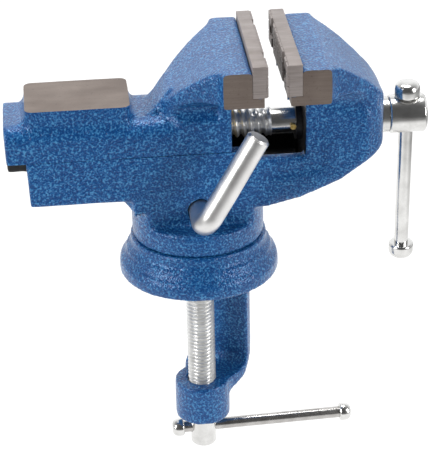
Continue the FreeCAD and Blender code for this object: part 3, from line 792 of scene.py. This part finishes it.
def teeth_tree():
    """Geometry nodes that set a row-and-column field of blunt pyramids, clear of the screws."""
    tree = bpy.data.node_groups.new("gripping_teeth", "GeometryNodeTree")
    for name, kind, value in (("Across", "NodeSocketFloat", 0.06), ("Up", "NodeSocketFloat", 0.013),
                              ("Columns", "NodeSocketInt", 12), ("Rows", "NodeSocketInt", 3),
                              ("Tooth", "NodeSocketFloat", 0.004), ("Height", "NodeSocketFloat", 0.0007),
                              ("Screw", "NodeSocketVector", (SCREW_SPREAD * MM, 0.0, 0.0)),
                              ("Metal", "NodeSocketMaterial", None)):
        socket = tree.interface.new_socket(name=name, in_out="INPUT", socket_type=kind)
        if value is not None:
            socket.default_value = value
    tree.interface.new_socket(name="Geometry", in_out="OUTPUT", socket_type="NodeSocketGeometry")
    nodes, links = tree.nodes, tree.links
    given = nodes.new("NodeGroupInput")
    result = nodes.new("NodeGroupOutput")
    grid = nodes.new("GeometryNodeMeshGrid")
    fed = {"Across": "Size X", "Up": "Size Y", "Columns": "Vertices X", "Rows": "Vertices Y"}
    for source, target in fed.items():
        links.new(given.outputs[source], grid.inputs[target])
    tooth = nodes.new("GeometryNodeMeshCone")
    tooth.inputs["Vertices"].default_value = 4
    for source, target in (("Tooth", "Radius Bottom"), ("Height", "Depth")):
        links.new(given.outputs[source], tooth.inputs[target])
    crown = nodes.new("ShaderNodeMath")
    crown.operation = "MULTIPLY"
    crown.inputs[1].default_value = 0.88
    links.new(given.outputs["Tooth"], crown.inputs[0])
    links.new(crown.outputs[0], tooth.inputs["Radius Top"])
    square = nodes.new("GeometryNodeTransform")
    square.inputs["Rotation"].default_value = (0, 0, math.pi / 4)
    links.new(tooth.outputs["Mesh"], square.inputs["Geometry"])
    scatter = nodes.new("GeometryNodeInstanceOnPoints")
    place = nodes.new("GeometryNodeInputPosition")
    near = nodes.new("ShaderNodeVectorMath")
    near.operation = "ABSOLUTE"
    links.new(place.outputs[0], near.inputs[0])
    apart = nodes.new("ShaderNodeVectorMath")
    apart.operation = "DISTANCE"
    links.new(near.outputs[0], apart.inputs[0])
    links.new(given.outputs["Screw"], apart.inputs[1])
    clear = nodes.new("ShaderNodeMath")
    clear.operation = "GREATER_THAN"
    clear.inputs[1].default_value = 0.0052
    links.new(apart.outputs["Value"], clear.inputs[0])
    links.new(clear.outputs[0], scatter.inputs["Selection"])
    links.new(grid.outputs["Mesh"], scatter.inputs["Points"])
    links.new(square.outputs["Geometry"], scatter.inputs["Instance"])
    scatter.inputs["Scale"].default_value = (1.22, 1.0, 1.0)
    real = nodes.new("GeometryNodeRealizeInstances")
    links.new(scatter.outputs[0], real.inputs[0])
    paint = nodes.new("GeometryNodeSetMaterial")
    links.new(real.outputs[0], paint.inputs["Geometry"])
    links.new(given.outputs["Metal"], paint.inputs["Material"])
    links.new(paint.outputs[0], result.inputs[0])
    return tree


TEETH_TREE = teeth_tree()


def plate_screws(name, node, plate_node, way):
    """Two countersunk socket screws, sunk just under the teeth."""
    low, high = span(node)
    plate_low, plate_high = span(plate_node)
    inner = (plate_high.x if way > 0 else plate_low.x) - 0.75 * way
    length = inner - low.x if way > 0 else high.x - inner
    middle = (low.z + high.z) / 2
    made = []
    for hand in (-1, 1):
        stand = axis_frame((inner, SCREW_SPREAD * hand, middle), (-way, 0, 0))
        shank = bmesh.new()
        profile = [(0, 0), (4.0, 0), (4.0, 0.45), (2.0, 2.5), (2.0, length), (0, length)]
        lathe(shank, soften(profile, 0.15), stand, 48)
        screw = piece_from(shank, name, [BLACK])
        socket = bmesh.new()
        lathe(socket, [(0, -1), (1.45, -1), (1.45, 1.6), (0, 1.9)], stand, 6)
        cut_away(screw, socket)
        made.append(screw)
    return joined(name, *made)


def jaw_plate(name, node, way):
    """A ground plate with bevelled edges and a chequered gripping face; way is +1 towards +X."""
    low, high = span(node)
    relief = 0.7
    bm = bmesh.new()
    face = high.x if way > 0 else low.x
    inner = face - relief * way
    left, right = sorted((inner, low.x if way > 0 else high.x))
    block(bm, (left, low.y, low.z), (right, high.y, high.z))
    bmesh.ops.bevel(bm, geom=bm.edges, offset=0.3, segments=2, affect="EDGES", profile=0.5)
    plate = piece_from(bm, name, [PLATE_STEEL])
    middle = (low.z + high.z) / 2
    for hand in (-1, 1):
        hole = bmesh.new()
        profile = [(0, -1), (4.2, -1), (4.2, 0.4), (2.15, 2.5), (2.15, 9), (0, 9)]
        lathe(hole, profile, axis_frame((inner, SCREW_SPREAD * hand, middle), (-way, 0, 0)), 48)
        cut_away(plate, hole)
    columns, rows = 12, 3
    pitch_across, pitch_up = (high.y - low.y) / columns, (high.z - low.z) / rows
    field = bpy.data.objects.new("teeth", bpy.data.meshes.new("teeth"))
    bpy.context.collection.objects.link(field)
    modifier = field.modifiers.new("teeth", "NODES")
    modifier.node_group = TEETH_TREE
    set_inputs(modifier, Across=pitch_across * (columns - 1) * MM, Up=pitch_up * (rows - 1) * MM)
    set_inputs(modifier, Columns=columns, Rows=rows, Tooth=pitch_up * 0.655 * MM)
    set_inputs(modifier, Height=relief * MM, Metal=PLATE_STEEL)
    made = evaluated_mesh(field)
    bpy.data.objects.remove(field)
    centre = (Vector(low) + Vector(high)) / 2
    stand = Matrix.Translation(Vector((inner, centre.y, centre.z)) * MM)
    across = Matrix(((0, 0, way, 0), (1, 0, 0, 0), (0, way, 0, 0), (0, 0, 0, 1)))
    made.transform(stand @ across)
    teeth = bpy.data.objects.new("teeth", made)
    bpy.context.collection.objects.link(teeth)
    return joined(name, plate, teeth)


# ---- turned and bent pieces -----------------------------------------------------------------

def ends_of(first_node, second_node):
    """The middles of the two caps on a bar, and the way from the first to the second."""
    first, second = (sum(span(node), Vector()) / 2 for node in (first_node, second_node))
    return first, second, (second - first).normalized()


foot_centre, top_centre, handle_way = ends_of("handle_cap_bottom", "handle_cap_top")
bar_left, bar_right, bar_way = ends_of("clamp_bar_cap_left", "clamp_bar_cap_right")


def drill(piece, radius, middle, way, reach):
    """Drills a hole through a piece, as far as reach on both sides of its middle."""
    bit = bmesh.new()
    lathe(bit, drum(radius, -reach, reach), axis_frame(middle, way), 48)
    cut_away(piece, bit)
    shade(piece.data, 35)


def lead_screw():
    """The lead screw: coarse thread, plain neck, and a hub drilled for the handle bar."""
    low, high = span("lead_screw")
    axis = (low.z + high.z) / 2
    radius, hub_radius, neck_radius = 6.0, 8.0, 5.5
    hub_left, thread_end = high.x - 15.5, 31.0
    along = (1, 0, 0)
    start, thread_length = (low.x, 0, axis), thread_end - low.x
    thread = threaded_rod("lead_thread", start, along, thread_length, radius, 1.25, 3.0, 0.18)
    neck_profile = drum(neck_radius, 0, hub_left - thread_end + 0.5)
    neck = turned_piece("lead_neck", neck_profile, (thread_end - 0.3, 0, axis), along, ZINC, 0.3)
    length = high.x - hub_left
    profile = [(0, 0), (hub_radius - 0.6, 0), (hub_radius, 0.7), (hub_radius, length - 1.0)]
    profile += [(hub_radius - 1.0, length), (0, length)]
    hub = turned_piece("lead_hub", profile, (hub_left, 0, axis), along, ZINC, 0.35, 96)
    drill(hub, 3.35, ((hub_left + high.x) / 2, 0, axis), handle_way, 20)
    return joined("lead_screw_turned", thread, neck, hub)


def dome_cap(name, middle, way, radius, length, hole):
    """A cap with a rounded outer end and a small shoulder where the bar goes in."""
    end = length / 2
    profile = [(0, -end), (hole + 0.2, -end), (radius - 0.5, -end), (radius, -end + 0.7)]
    profile += [(radius, end - 2.6), (radius * 0.86, end - 0.9), (radius * 0.55, end - 0.1), (0, end)]
    return turned_piece(name, profile, middle, way, ZINC, 1.0)


def bar_between(name, first, second, radius, material):
    """A round bar from one place to another."""
    way = second - first
    return turned_piece(name, drum(radius, 0, way.length), first, way, material, 0.2, 48)


def lock_lever():
    """The bent rod: out of its hole, round the bend and up to its flat, chamfered end."""
    inner_end = span("lock_lever")[1].y
    hole_height = 33.3
    out, bend, radius = 33.49, 7.0, 4.8
    lean, length = math.radians(30.0), 45.5
    corner = Vector((0, -out, hole_height))
    aim = Vector((math.sin(lean), 0, math.cos(lean)))
    back = Vector((0, 1, 0))
    path = [(Vector((0, inner_end, hole_height)), -back)]
    centre = corner + (back + aim) * bend
    steps = 20
    for step in range(steps + 1):
        angle = math.pi / 2 * step / steps
        offset = -aim * math.cos(angle) - back * math.sin(angle)
        path.append((centre + offset * bend, -back * math.cos(angle) + aim * math.sin(angle)))
    tip = corner + aim * length
    path += [(tip - aim * 0.9, aim), (tip, aim)]
    side = aim.cross(back).normalized()
    bm = bmesh.new()
    segments = 48
    rings = []
    for index, (point, way) in enumerate(path):
        size = radius - 0.9 if index == len(path) - 1 else radius
        up = way.cross(side).normalized()
        rings.append([bm.verts.new(point + (side * math.cos(a) + up * math.sin(a)) * size)
                      for a in (2 * math.pi * k / segments for k in range(segments))])
    for lower, upper in zip(rings, rings[1:]):
        for k in range(segments):
            bm.faces.new((lower[k], lower[(k + 1) % segments], upper[(k + 1) % segments], upper[k]))
    bm.faces.new(rings[0])
    bm.faces.new(rings[-1])
    return piece_from(bm, "lock_lever_bent", [SATIN], 35)


def clamp_screw():
    """The clamp screw: fine thread, a tip for the pad, and a head drilled for its bar."""
    low, high = span("clamp_screw")
    radius, head_radius, tip_radius, tip_length = 6.0, 5.6, 3.0, 4.0
    head_top, head_base = -75.0, low.z
    length = high.z - 1.7 - head_top
    up = (0, 0, 1)
    thread = threaded_rod("clamp_thread", (0, 0, head_top - 0.5), up, length, radius, 1.05, 1.75, 0.12)
    tip_start = (0, 0, high.z - tip_length)
    tip = turned_piece("clamp_tip", drum(tip_radius, 0, tip_length), tip_start, up, ZINC, 0.3)
    height = head_top - head_base
    profile = [(0, 0), (head_radius - 1.6, 0), (head_radius, 1.5), (head_radius, height), (0, height)]
    head = turned_piece("clamp_head", profile, (0, 0, head_base), up, ZINC, 0.5, 96)
    drill(head, 2.6, (0, 0, (bar_left.z + bar_right.z) / 2), bar_way, 12)
    return joined("clamp_screw_turned", thread, tip, head)


# ---- put the pieces on the frame ---------------------------------------------------------------

def stands_for(piece, body, slot, *nodes):
    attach(piece, body)
    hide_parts(*nodes)


stands_for(vise_body(), "swivel_body", "hammertone_blue", "vise_body")
stands_for(moving_jaw(), "sliding_jaw", "hammertone_blue", "moving_jaw")
stands_for(clamp_frame(), "table_clamp", "hammertone_blue", "clamp_frame")

fixed_plate = jaw_plate("fixed_plate_ground", "fixed_jaw_plate", -1)
stands_for(fixed_plate, "swivel_body", "jaw_steel", "fixed_jaw_plate")
moving_plate = jaw_plate("moving_plate_ground", "moving_jaw_plate", 1)
stands_for(moving_plate, "sliding_jaw", "jaw_steel", "moving_jaw_plate")

fixed_screws = plate_screws("fixed_plate_socket_screws", "fixed_jaw_screws", "fixed_jaw_plate", -1)
stands_for(fixed_screws, "swivel_body", "black_steel", "fixed_jaw_screws")
moving_screws = plate_screws("moving_plate_socket_screws", "moving_jaw_screws", "moving_jaw_plate", 1)
stands_for(moving_screws, "sliding_jaw", "black_steel", "moving_jaw_screws")

stands_for(lead_screw(), "spindle", "zinc_plate", "lead_screw")
handle_bar = bar_between("handle_bar_round", foot_centre, top_centre, 3.0, ZINC)
stands_for(handle_bar, "handle", "zinc_plate", "handle_bar")
for end, centre, outward in (("top", top_centre, handle_way), ("bottom", foot_centre, -handle_way)):
    cap = dome_cap("handle_cap_" + end + "_domed", centre, outward, 5.3, 6.6, 3.0)
    stands_for(cap, "handle", "zinc_plate", "handle_cap_" + end)

stands_for(lock_lever(), "lever", "zinc_plate", "lock_lever")

stands_for(clamp_screw(), "clamp_spindle", "zinc_plate", "clamp_screw")
# The clamp bar takes the darkened plating: painted shade under the vise.
clamp_bar = bar_between("clamp_bar_round", bar_left, bar_right, 2.5, SHADED_ZINC)
stands_for(clamp_bar, "clamp_tommy_bar", "zinc_plate", "clamp_bar")
for hand, centre, outward in (("left", bar_left, -bar_way), ("right", bar_right, bar_way)):
    cap = dome_cap("clamp_cap_" + hand + "_domed", centre, outward, 4.0, 5.2, 2.5)
    stands_for(cap, "clamp_tommy_bar", "zinc_plate", "clamp_bar_cap_" + hand)

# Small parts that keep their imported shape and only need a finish.
CARRIED = {
    "pressure_pad": ZINC,
    "nut_set_screw": BLACK,
    "lead_nut": BRASS,
    "lock_shoe": BRASS,
    "retaining_pin": BRASS,
    "thrust_collar": ZINC,
    "retaining_washer": BLACK,
}
for node, material in CARRIED.items():
    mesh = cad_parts[node].data
    mesh.materials.clear()
    mesh.materials.append(material)


# ---- floor, light and camera --------------------------------------------------------------------

def floor():
    """A dark grey table under the vise that glows pale: a painted pool of light, brightest beneath and
    behind it and dimmer to the sides and in front.
    """
    bm = bmesh.new()
    reach = 6000
    height = cad_bounds[0][2] / MM - 60
    around = ((-1, -1), (1, -1), (1, 1), (-1, 1))
    bm.faces.new([bm.verts.new((x * reach, y * reach, height)) for x, y in around])
    s = Shader("glowing_floor")
    split = s.add("ShaderNodeSeparateXYZ")
    s.join(s.place, split.inputs[0])
    aside = s.add("ShaderNodeMath", operation="ABSOLUTE")
    s.join(split.outputs["X"], aside.inputs[0])
    # Painted pool of light: the glow fades past 0.28 m to either side and towards the front.
    lit = s.add("ShaderNodeMath", operation="MULTIPLY")
    s.join(s.levels(aside.outputs[0], 1.0, 0.22, 0.28, 0.50), lit.inputs[0])
    s.join(s.levels(split.outputs["Y"], 0.10, 1.0, -0.50, -0.22), lit.inputs[1])
    speckle = s.noise(40, 2.0)
    grey = s.ramp(speckle, [(0.3, (0.10, 0.10, 0.10)), (0.7, (0.12, 0.12, 0.12))])
    glow = s.ramp(lit.outputs[0], [(0.0, (0.0, 0.0, 0.0)), (1.0, (1.0, 1.0, 1.0))])
    s.set(Base_Color=grey, Roughness=0.9, Emission_Color=glow, Emission_Strength=1.0)
    piece_from(bm, "floor", [s.material])


def soft_box(name, place, target, size, power):
    """A rectangular lamp that looks at a target."""
    light = bpy.data.lights.new(name, "AREA")
    light.shape = "RECTANGLE"
    light.size, light.size_y = size
    light.energy = power
    lamp = bpy.data.objects.new(name, light)
    lamp.matrix_world = axis_frame(Vector(place), Vector(place) - Vector(target))
    bpy.context.collection.objects.link(lamp)


def studio():
    """Pale walls and ceiling, dark behind the camera, and three soft boxes."""
    centre = (0.0, 0.0, 0.03)
    soft_box("overhead", (0.02, 0.20, 0.95), centre, (0.5, 0.30), 6)
    soft_box("left", (-0.80, -0.45, 0.35), centre, (0.35, 0.6), 7)
    soft_box("right", (0.80, -0.50, 0.30), centre, (0.3, 0.6), 6)
    world = bpy.data.worlds.new("studio")
    bpy.context.scene.world = world
    world.use_nodes = True
    nodes, links = world.node_tree.nodes, world.node_tree.links
    way = nodes.new("ShaderNodeTexCoord")
    facing = nodes.new("ShaderNodeVectorMath")
    facing.operation = "DOT_PRODUCT"
    facing.inputs[1].default_value = Vector((-0.08, -0.87, 0.47)).normalized()
    links.new(way.outputs["Generated"], facing.inputs[0])
    shade_of = nodes.new("ShaderNodeValToRGB")
    band = shade_of.color_ramp
    greys = ((0.0, 1.30), (0.25, 1.30), (0.40, 0.85), (0.60, 0.45), (0.75, 0.28), (0.88, 0.12), (0.96, 0.09))
    for position, grey in greys:
        element = band.elements.new(position)
        element.color = (grey * 0.98, grey * 0.99, grey, 1)
    band.elements.remove(band.elements[-1])
    spread = nodes.new("ShaderNodeMapRange")
    spread.inputs["From Min"].default_value = -1
    links.new(facing.outputs["Value"], spread.inputs["Value"])
    links.new(spread.outputs["Result"], shade_of.inputs["Fac"])
    back = nodes["Background"]
    links.new(shade_of.outputs["Color"], back.inputs["Color"])
    back.inputs["Strength"].default_value = 1.0


def camera():
    """A long lens a little left of square-on and 27 degrees above, rolled slightly."""
    data = bpy.data.cameras.new("camera")
    data.lens = 163.6
    data.sensor_width = 36
    place = Vector((-0.05844, -0.76346, 0.40890))
    aim = Vector((0.00841, 0.00682, 0.01433))
    roll = math.radians(-1.345)
    look = (aim - place).normalized()
    turn = look.to_track_quat("-Z", "Y").to_matrix().to_4x4()
    lens = bpy.data.objects.new("camera", data)
    lens.matrix_world = Matrix.Translation(place) @ turn @ Matrix.Rotation(roll, 4, "Z")
    bpy.context.collection.objects.link(lens)
    bpy.context.scene.camera = lens


floor()
studio()
camera()
bpy.context.scene.view_settings.view_transform = "Standard"
